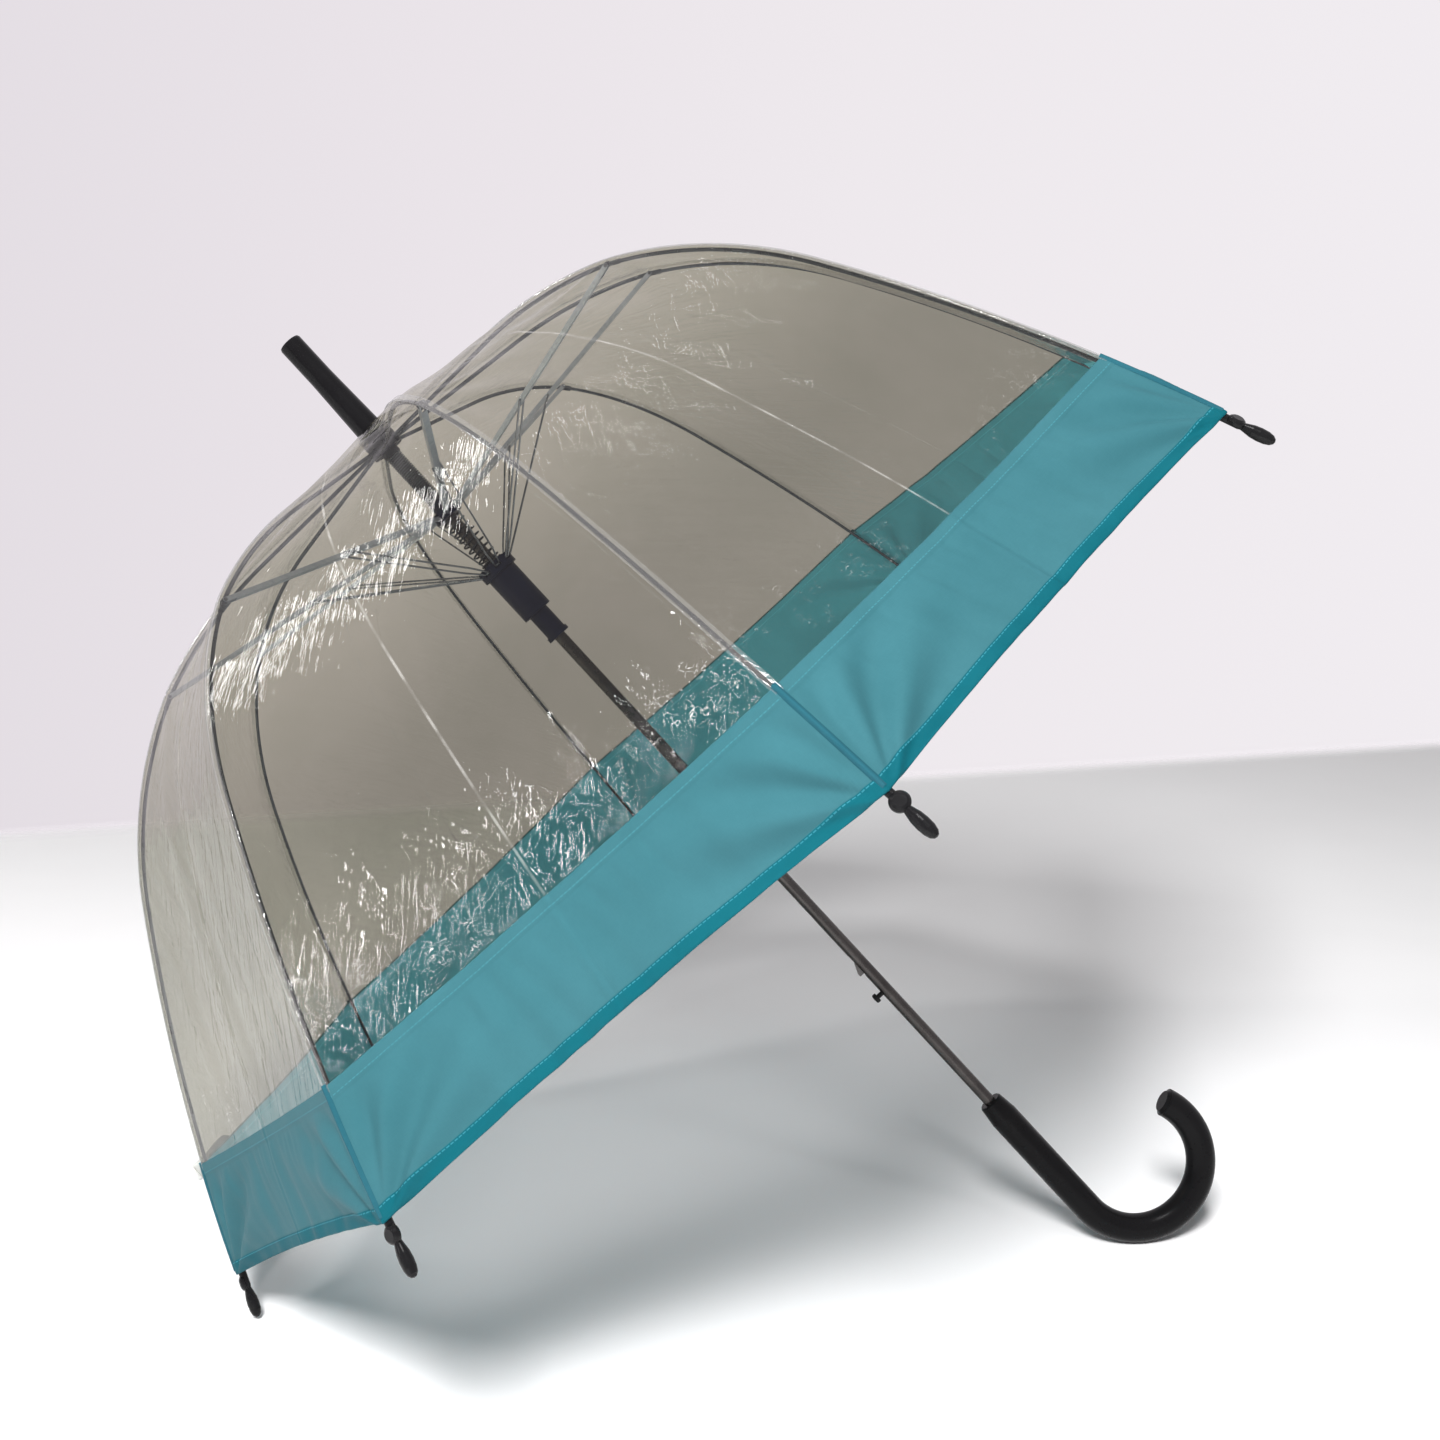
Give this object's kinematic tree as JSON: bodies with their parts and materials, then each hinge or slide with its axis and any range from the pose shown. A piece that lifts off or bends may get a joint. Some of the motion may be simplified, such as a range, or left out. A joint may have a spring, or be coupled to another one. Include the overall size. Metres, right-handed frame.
{
  "type": "dome umbrella",
  "caption": "Automatic stick umbrella with a deep see-through dome canopy, a teal fabric border band, a metal shaft and a black crook handle.",
  "frame": {"origin": "on the shaft axis, at the upper end of the straight cylindrical grip", "axes": "+Z along the shaft towards the ferrule, +X the way the crook bends, +Y completes the right-handed frame"},
  "size_m": [0.8516, 0.8516, 0.8212],
  "materials": {
    "dark_steel_tube": "satin dark gunmetal coating",
    "black_gloss": "glossy moulded plastic",
    "grey_washer": "matt moulded plastic",
    "black_plastic": "satin moulded plastic",
    "bright_wire": "zinc-plated wire",
    "dark_steel": "oiled spring steel",
    "navy_plastic": "satin moulded plastic",
    "black_spring": "blackened spring wire",
    "strap_clear": "translucent white strap",
    "snap_white": "moulded plastic",
    "clear_film": "clear glossy flexible film",
    "teal_fabric": "thin plain-weave polyester",
    "dark_rod": "dark grey rod",
    "zinc_channel": "zinc-plated pressed channel"
  },
  "bodies": {
    "shaft": {"shaft_tube": "dark_steel_tube", "ferrule": "black_gloss", "ferrule_washer": "grey_washer", "top_notch": "black_plastic", "notch_wire": "bright_wire", "handle": "black_gloss", "button_spring": "bright_wire", "buffer_spring": "black_spring", "closure_strap": "strap_clear", "strap_snap": "snap_white", "canopy_film": "clear_film", "border_band": "teal_fabric"},
    "rib_1": {"rib_1": "dark_rod"},
    "rib_2": {"rib_2": "dark_rod"},
    "rib_3": {"rib_3": "dark_rod"},
    "rib_4": {"rib_4": "dark_rod"},
    "rib_5": {"rib_5": "dark_rod"},
    "rib_6": {"rib_6": "dark_rod"},
    "rib_7": {"rib_7": "dark_rod"},
    "rib_8": {"rib_8": "dark_rod"},
    "outer_1": {"rib_outer_1": "dark_rod", "rib_tip_1": "black_plastic"},
    "outer_2": {"rib_outer_2": "dark_rod", "rib_tip_2": "black_plastic"},
    "outer_3": {"rib_outer_3": "dark_rod", "rib_tip_3": "black_plastic"},
    "outer_4": {"rib_outer_4": "dark_rod", "rib_tip_4": "black_plastic"},
    "outer_5": {"rib_outer_5": "dark_rod", "rib_tip_5": "black_plastic"},
    "outer_6": {"rib_outer_6": "dark_rod", "rib_tip_6": "black_plastic"},
    "outer_7": {"rib_outer_7": "dark_rod", "rib_tip_7": "black_plastic"},
    "outer_8": {"rib_outer_8": "dark_rod", "rib_tip_8": "black_plastic"},
    "stretcher_1": {"stretcher_1": "zinc_channel"},
    "stretcher_2": {"stretcher_2": "zinc_channel"},
    "stretcher_3": {"stretcher_3": "zinc_channel"},
    "stretcher_4": {"stretcher_4": "zinc_channel"},
    "stretcher_5": {"stretcher_5": "zinc_channel"},
    "stretcher_6": {"stretcher_6": "zinc_channel"},
    "stretcher_7": {"stretcher_7": "zinc_channel"},
    "stretcher_8": {"stretcher_8": "zinc_channel"},
    "link_1": {"link_1": "bright_wire"},
    "link_2": {"link_2": "bright_wire"},
    "link_3": {"link_3": "bright_wire"},
    "link_4": {"link_4": "bright_wire"},
    "link_5": {"link_5": "bright_wire"},
    "link_6": {"link_6": "bright_wire"},
    "link_7": {"link_7": "bright_wire"},
    "link_8": {"link_8": "bright_wire"},
    "slide_notch": {"slide_notch": "navy_plastic", "slide_notch_wire": "bright_wire", "opening_spring": "black_spring"},
    "runner": {"runner": "navy_plastic"},
    "catch": {"catch": "dark_steel"},
    "button": {"release_button": "black_plastic"}
  },
  "joints": [
    {"name": "canopy_fold", "type": "hinge", "parent": "shaft", "child": "rib_1", "pos_m": [0.00622, -0.00503, 0.595], "axis": [0.6293, 0.7771, 0], "range_deg": [0, 79], "stiffness_Nm_per_rad": 1, "springref_deg": -74.48, "deforming": ["canopy_film", "border_band", "closure_strap", "strap_snap", "catch"]},
    {"name": "rib_2_fold", "type": "hinge", "parent": "shaft", "child": "rib_2", "pos_m": [0.00084, -0.00796, 0.595], "axis": [0.9945, 0.1045, 0], "range_deg": [0, 79]},
    {"name": "rib_3_fold", "type": "hinge", "parent": "shaft", "child": "rib_3", "pos_m": [-0.00503, -0.00622, 0.595], "axis": [0.7771, -0.6293, 0], "range_deg": [0, 79]},
    {"name": "rib_4_fold", "type": "hinge", "parent": "shaft", "child": "rib_4", "pos_m": [-0.00796, -0.00084, 0.595], "axis": [0.1045, -0.9945, 0], "range_deg": [0, 79]},
    {"name": "rib_5_fold", "type": "hinge", "parent": "shaft", "child": "rib_5", "pos_m": [-0.00622, 0.00503, 0.595], "axis": [-0.6293, -0.7771, 0], "range_deg": [0, 79]},
    {"name": "rib_6_fold", "type": "hinge", "parent": "shaft", "child": "rib_6", "pos_m": [-0.00084, 0.00796, 0.595], "axis": [-0.9945, -0.1045, 0], "range_deg": [0, 79]},
    {"name": "rib_7_fold", "type": "hinge", "parent": "shaft", "child": "rib_7", "pos_m": [0.00503, 0.00622, 0.595], "axis": [-0.7771, 0.6293, 0], "range_deg": [0, 79]},
    {"name": "rib_8_fold", "type": "hinge", "parent": "shaft", "child": "rib_8", "pos_m": [0.00796, 0.00084, 0.595], "axis": [-0.1045, 0.9945, 0], "range_deg": [0, 79]},
    {"name": "rib_1_flex", "type": "hinge", "parent": "rib_1", "child": "outer_1", "pos_m": [0.1605, -0.12997, 0.56591], "axis": [0.6293, 0.7771, 0], "range_deg": [-47.56, 0]},
    {"name": "stretcher_1_pivot", "type": "hinge", "parent": "rib_1", "child": "stretcher_1", "pos_m": [0.1605, -0.12997, 0.56591], "axis": [0.6293, 0.7771, 0], "range_deg": [-158, 0]},
    {"name": "link_1_pivot", "type": "hinge", "parent": "stretcher_1", "child": "link_1", "pos_m": [0.0785, -0.06357, 0.55045], "axis": [0.6293, 0.7771, 0], "range_deg": [0, 23.36]},
    {"name": "rib_2_flex", "type": "hinge", "parent": "rib_2", "child": "outer_2", "pos_m": [0.02159, -0.20539, 0.56591], "axis": [0.9945, 0.1045, 0], "range_deg": [-47.56, 0]},
    {"name": "stretcher_2_pivot", "type": "hinge", "parent": "rib_2", "child": "stretcher_2", "pos_m": [0.02159, -0.20539, 0.56591], "axis": [0.9945, 0.1045, 0], "range_deg": [-158, 0]},
    {"name": "link_2_pivot", "type": "hinge", "parent": "stretcher_2", "child": "link_2", "pos_m": [0.01056, -0.10045, 0.55045], "axis": [0.9945, 0.1045, 0], "range_deg": [0, 23.36]},
    {"name": "rib_3_flex", "type": "hinge", "parent": "rib_3", "child": "outer_3", "pos_m": [-0.12997, -0.1605, 0.56591], "axis": [0.7771, -0.6293, 0], "range_deg": [-47.56, 0]},
    {"name": "stretcher_3_pivot", "type": "hinge", "parent": "rib_3", "child": "stretcher_3", "pos_m": [-0.12997, -0.1605, 0.56591], "axis": [0.7771, -0.6293, 0], "range_deg": [-158, 0]},
    {"name": "link_3_pivot", "type": "hinge", "parent": "stretcher_3", "child": "link_3", "pos_m": [-0.06357, -0.0785, 0.55045], "axis": [0.7771, -0.6293, 0], "range_deg": [0, 23.36]},
    {"name": "rib_4_flex", "type": "hinge", "parent": "rib_4", "child": "outer_4", "pos_m": [-0.20539, -0.02159, 0.56591], "axis": [0.1045, -0.9945, 0], "range_deg": [-47.56, 0]},
    {"name": "stretcher_4_pivot", "type": "hinge", "parent": "rib_4", "child": "stretcher_4", "pos_m": [-0.20539, -0.02159, 0.56591], "axis": [0.1045, -0.9945, 0], "range_deg": [-158, 0]},
    {"name": "link_4_pivot", "type": "hinge", "parent": "stretcher_4", "child": "link_4", "pos_m": [-0.10045, -0.01056, 0.55045], "axis": [0.1045, -0.9945, 0], "range_deg": [0, 23.36]},
    {"name": "rib_5_flex", "type": "hinge", "parent": "rib_5", "child": "outer_5", "pos_m": [-0.1605, 0.12997, 0.56591], "axis": [-0.6293, -0.7771, 0], "range_deg": [-47.56, 0]},
    {"name": "stretcher_5_pivot", "type": "hinge", "parent": "rib_5", "child": "stretcher_5", "pos_m": [-0.1605, 0.12997, 0.56591], "axis": [-0.6293, -0.7771, 0], "range_deg": [-158, 0]},
    {"name": "link_5_pivot", "type": "hinge", "parent": "stretcher_5", "child": "link_5", "pos_m": [-0.0785, 0.06357, 0.55045], "axis": [-0.6293, -0.7771, 0], "range_deg": [0, 23.36]},
    {"name": "rib_6_flex", "type": "hinge", "parent": "rib_6", "child": "outer_6", "pos_m": [-0.02159, 0.20539, 0.56591], "axis": [-0.9945, -0.1045, 0], "range_deg": [-47.56, 0]},
    {"name": "stretcher_6_pivot", "type": "hinge", "parent": "rib_6", "child": "stretcher_6", "pos_m": [-0.02159, 0.20539, 0.56591], "axis": [-0.9945, -0.1045, 0], "range_deg": [-158, 0]},
    {"name": "link_6_pivot", "type": "hinge", "parent": "stretcher_6", "child": "link_6", "pos_m": [-0.01056, 0.10045, 0.55045], "axis": [-0.9945, -0.1045, 0], "range_deg": [0, 23.36]},
    {"name": "rib_7_flex", "type": "hinge", "parent": "rib_7", "child": "outer_7", "pos_m": [0.12997, 0.1605, 0.56591], "axis": [-0.7771, 0.6293, 0], "range_deg": [-47.56, 0]},
    {"name": "stretcher_7_pivot", "type": "hinge", "parent": "rib_7", "child": "stretcher_7", "pos_m": [0.12997, 0.1605, 0.56591], "axis": [-0.7771, 0.6293, 0], "range_deg": [-158, 0]},
    {"name": "link_7_pivot", "type": "hinge", "parent": "stretcher_7", "child": "link_7", "pos_m": [0.06357, 0.0785, 0.55045], "axis": [-0.7771, 0.6293, 0], "range_deg": [0, 23.36]},
    {"name": "rib_8_flex", "type": "hinge", "parent": "rib_8", "child": "outer_8", "pos_m": [0.20539, 0.02159, 0.56591], "axis": [-0.1045, 0.9945, 0], "range_deg": [-47.56, 0]},
    {"name": "stretcher_8_pivot", "type": "hinge", "parent": "rib_8", "child": "stretcher_8", "pos_m": [0.20539, 0.02159, 0.56591], "axis": [-0.1045, 0.9945, 0], "range_deg": [-158, 0]},
    {"name": "link_8_pivot", "type": "hinge", "parent": "stretcher_8", "child": "link_8", "pos_m": [0.10045, 0.01056, 0.55045], "axis": [-0.1045, 0.9945, 0], "range_deg": [0, 23.36]},
    {"name": "slide_notch_pivot", "type": "hinge", "parent": "stretcher_1", "child": "slide_notch", "pos_m": [0.00622, -0.00503, 0.53682], "axis": [0.6293, 0.7771, 0], "range_deg": [0, 79]},
    {"name": "runner_slide", "type": "slide", "parent": "slide_notch", "child": "runner", "axis": [0, 0, 1], "range_m": [0, 0.03258], "deforming": ["opening_spring"]},
    {"name": "release_press", "type": "slide", "parent": "shaft", "child": "button", "axis": [1, 0, 0], "range_m": [0, 0.0032], "stiffness_N_per_m": 300, "springref_m": -0.002},
    {"name": "catch_slide", "type": "slide", "parent": "shaft", "child": "catch", "axis": [1, 0, 0], "range_m": [0, 0.0032]}
  ],
  "couplings": [
    {"joint": "rib_2_fold", "follows": "canopy_fold", "ratio": 1},
    {"joint": "rib_3_fold", "follows": "canopy_fold", "ratio": 1},
    {"joint": "rib_4_fold", "follows": "canopy_fold", "ratio": 1},
    {"joint": "rib_5_fold", "follows": "canopy_fold", "ratio": 1},
    {"joint": "rib_6_fold", "follows": "canopy_fold", "ratio": 1},
    {"joint": "rib_7_fold", "follows": "canopy_fold", "ratio": 1},
    {"joint": "rib_8_fold", "follows": "canopy_fold", "ratio": 1},
    {"joint": "rib_1_flex", "follows": "canopy_fold", "ratio": -0.60188},
    {"joint": "stretcher_1_pivot", "follows": "canopy_fold", "ratio": -2},
    {"joint": "link_1_pivot", "follows": "canopy_fold", "ratio": 0.29562},
    {"joint": "rib_2_flex", "follows": "canopy_fold", "ratio": -0.60188},
    {"joint": "stretcher_2_pivot", "follows": "canopy_fold", "ratio": -2},
    {"joint": "link_2_pivot", "follows": "canopy_fold", "ratio": 0.29562},
    {"joint": "rib_3_flex", "follows": "canopy_fold", "ratio": -0.60188},
    {"joint": "stretcher_3_pivot", "follows": "canopy_fold", "ratio": -2},
    {"joint": "link_3_pivot", "follows": "canopy_fold", "ratio": 0.29562},
    {"joint": "rib_4_flex", "follows": "canopy_fold", "ratio": -0.60188},
    {"joint": "stretcher_4_pivot", "follows": "canopy_fold", "ratio": -2},
    {"joint": "link_4_pivot", "follows": "canopy_fold", "ratio": 0.29562},
    {"joint": "rib_5_flex", "follows": "canopy_fold", "ratio": -0.60188},
    {"joint": "stretcher_5_pivot", "follows": "canopy_fold", "ratio": -2},
    {"joint": "link_5_pivot", "follows": "canopy_fold", "ratio": 0.29562},
    {"joint": "rib_6_flex", "follows": "canopy_fold", "ratio": -0.60188},
    {"joint": "stretcher_6_pivot", "follows": "canopy_fold", "ratio": -2},
    {"joint": "link_6_pivot", "follows": "canopy_fold", "ratio": 0.29562},
    {"joint": "rib_7_flex", "follows": "canopy_fold", "ratio": -0.60188},
    {"joint": "stretcher_7_pivot", "follows": "canopy_fold", "ratio": -2},
    {"joint": "link_7_pivot", "follows": "canopy_fold", "ratio": 0.29562},
    {"joint": "rib_8_flex", "follows": "canopy_fold", "ratio": -0.60188},
    {"joint": "stretcher_8_pivot", "follows": "canopy_fold", "ratio": -2},
    {"joint": "link_8_pivot", "follows": "canopy_fold", "ratio": 0.29562},
    {"joint": "slide_notch_pivot", "follows": "canopy_fold", "ratio": 1},
    {"joint": "runner_slide", "follows": "canopy_fold", "m_per_rad": 0.023625},
    {"joint": "catch_slide", "follows": "release_press", "ratio": 1}
  ]
}
